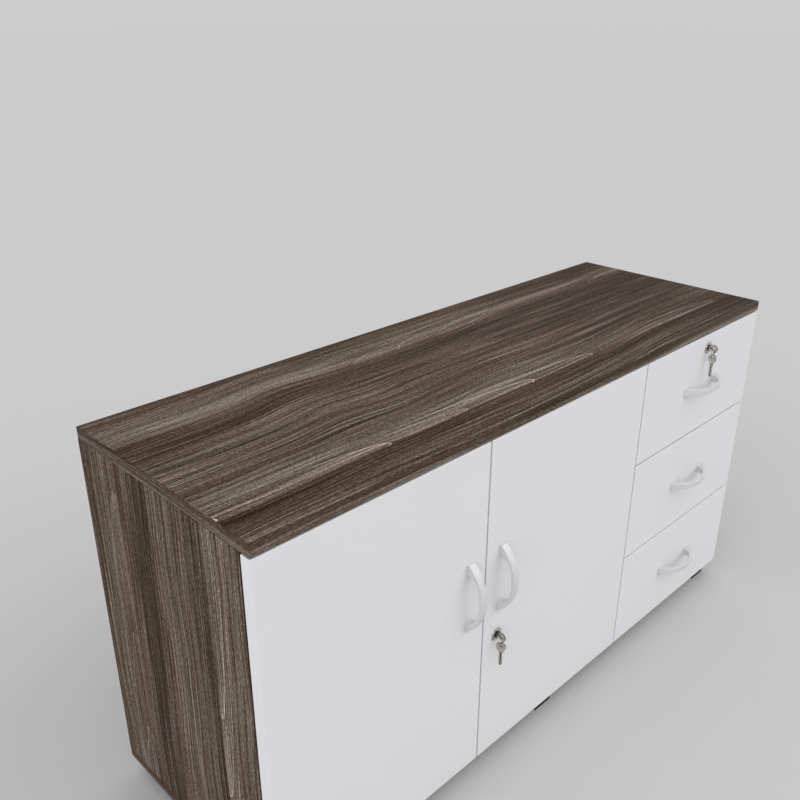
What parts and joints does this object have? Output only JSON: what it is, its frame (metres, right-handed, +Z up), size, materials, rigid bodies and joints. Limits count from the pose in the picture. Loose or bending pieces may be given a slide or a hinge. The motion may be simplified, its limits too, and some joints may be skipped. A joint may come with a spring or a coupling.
{
  "type": "credenza cabinet",
  "caption": "Low credenza in dark woodgrain with white hinged doors beside a bank of white drawers, bow handles, cam locks with keys, and block feet.",
  "frame": {"origin": "on the floor, at the middle of the whole object's footprint with the handles counted in", "axes": "+X along the width towards the drawers, -Y out of the fronts, +Z up"},
  "size_m": [1.2, 0.43, 0.63],
  "materials": {
    "woodgrain": "dark grey-brown woodgrain melamine, satin",
    "edge_band": "brown plastic edge band, satin",
    "back_board": "thin dark fibreboard",
    "white_front": "white melamine, satin",
    "drawer_board": "white melamine, matt",
    "handle_metal": "satin silver",
    "zinc_steel": "zinc plated",
    "lock_chrome": "nickel plated",
    "black_plastic": "matt black"
  },
  "bodies": {
    "carcass": {"top_panel": "woodgrain", "top_edge_bands": "edge_band", "left_side_panel": "woodgrain", "right_side_panel": "woodgrain", "carcass_edge_bands": "edge_band", "bottom_panel": "woodgrain", "divider_panel": "woodgrain", "back_panel": "back_board", "shelf": "woodgrain", "shelf_pins": "zinc_steel", "feet": "black_plastic", "foot_screws": "zinc_steel", "connector_cams": "zinc_steel", "connector_bolts": "zinc_steel", "hinge_arms": "zinc_steel", "hinge_plates": "zinc_steel", "cabinet_runners": "zinc_steel", "lock_strike": "zinc_steel"},
    "left_door": {"left_door_panel": "white_front", "left_door_handle": "handle_metal", "left_hinge_cups": "zinc_steel", "left_hinge_pins": "zinc_steel", "left_bolt_case": "zinc_steel"},
    "left_slide_bolt": {"left_bolt": "zinc_steel"},
    "right_door": {"right_door_panel": "white_front", "right_door_handle": "handle_metal", "right_hinge_cups": "zinc_steel", "right_hinge_pins": "zinc_steel", "door_lock_barrel": "lock_chrome", "door_lock_nut": "zinc_steel"},
    "door_lock_core": {"door_lock_plug": "lock_chrome", "door_lock_cam": "zinc_steel", "door_key": "lock_chrome"},
    "door_spare": {"door_key_ring": "lock_chrome", "door_spare_key": "lock_chrome"},
    "drawer_lock_core": {"drawer_lock_plug": "lock_chrome", "drawer_lock_cam": "zinc_steel", "drawer_key": "lock_chrome"},
    "drawer_spare": {"drawer_key_ring": "lock_chrome", "drawer_spare_key": "lock_chrome"},
    "drawer_1": {"drawer_1_front": "white_front", "drawer_1_box": "drawer_board", "drawer_1_bottom": "drawer_board", "drawer_1_handle": "handle_metal", "drawer_1_inner_runners": "zinc_steel", "drawer_lock_barrel": "lock_chrome", "drawer_lock_nut": "zinc_steel"},
    "drawer_1_slides": {"drawer_1_middle_runners": "zinc_steel"},
    "drawer_2": {"drawer_2_front": "white_front", "drawer_2_box": "drawer_board", "drawer_2_bottom": "drawer_board", "drawer_2_handle": "handle_metal", "drawer_2_inner_runners": "zinc_steel"},
    "drawer_2_slides": {"drawer_2_middle_runners": "zinc_steel"},
    "drawer_3": {"drawer_3_front": "white_front", "drawer_3_box": "drawer_board", "drawer_3_bottom": "drawer_board", "drawer_3_handle": "handle_metal", "drawer_3_inner_runners": "zinc_steel"},
    "drawer_3_slides": {"drawer_3_middle_runners": "zinc_steel"}
  },
  "joints": [
    {"name": "left_door_swing", "type": "hinge", "parent": "carcass", "child": "left_door", "pos_m": [-0.593, -0.1785, 0.32], "axis": [0, 0, -1], "range_deg": [0, 90]},
    {"name": "right_door_swing", "type": "hinge", "parent": "carcass", "child": "right_door", "pos_m": [0.1915, -0.1785, 0.32], "axis": [0, 0, 1], "range_deg": [0, 90]},
    {"name": "left_bolt_slide", "type": "slide", "parent": "left_door", "child": "left_slide_bolt", "axis": [0, 0, 1], "range_m": [0, 0.012]},
    {"name": "drawer_1_slide", "type": "slide", "parent": "carcass", "child": "drawer_1", "axis": [0, -1, 0], "range_m": [0, 0.33]},
    {"name": "drawer_1_runner_slide", "type": "slide", "parent": "carcass", "child": "drawer_1_slides", "axis": [0, -1, 0], "range_m": [0, 0.165]},
    {"name": "drawer_2_slide", "type": "slide", "parent": "carcass", "child": "drawer_2", "axis": [0, -1, 0], "range_m": [0, 0.33]},
    {"name": "drawer_2_runner_slide", "type": "slide", "parent": "carcass", "child": "drawer_2_slides", "axis": [0, -1, 0], "range_m": [0, 0.165]},
    {"name": "drawer_3_slide", "type": "slide", "parent": "carcass", "child": "drawer_3", "axis": [0, -1, 0], "range_m": [0, 0.33]},
    {"name": "drawer_3_runner_slide", "type": "slide", "parent": "carcass", "child": "drawer_3_slides", "axis": [0, -1, 0], "range_m": [0, 0.165]},
    {"name": "door_lock_turn", "type": "hinge", "parent": "right_door", "child": "door_lock_core", "pos_m": [-0.168, -0.185, 0.265], "axis": [0, 1, 0], "range_deg": [0, 90]},
    {"name": "door_spare_key_swing", "type": "hinge", "parent": "door_lock_core", "child": "door_spare", "pos_m": [-0.168, -0.1963, 0.2643], "axis": [0, 1, 0], "range_deg": [-35, 35]},
    {"name": "drawer_lock_turn", "type": "hinge", "parent": "drawer_1", "child": "drawer_lock_core", "pos_m": [0.40875, -0.185, 0.5845], "axis": [0, 1, 0], "range_deg": [0, 90]},
    {"name": "drawer_spare_key_swing", "type": "hinge", "parent": "drawer_lock_core", "child": "drawer_spare", "pos_m": [0.40875, -0.1963, 0.5838], "axis": [0, 1, 0], "range_deg": [-35, 35]}
  ],
  "couplings": [
    {"joint": "drawer_1_runner_slide", "follows": "drawer_1_slide", "ratio": 0.5},
    {"joint": "drawer_2_runner_slide", "follows": "drawer_2_slide", "ratio": 0.5},
    {"joint": "drawer_3_runner_slide", "follows": "drawer_3_slide", "ratio": 0.5}
  ]
}
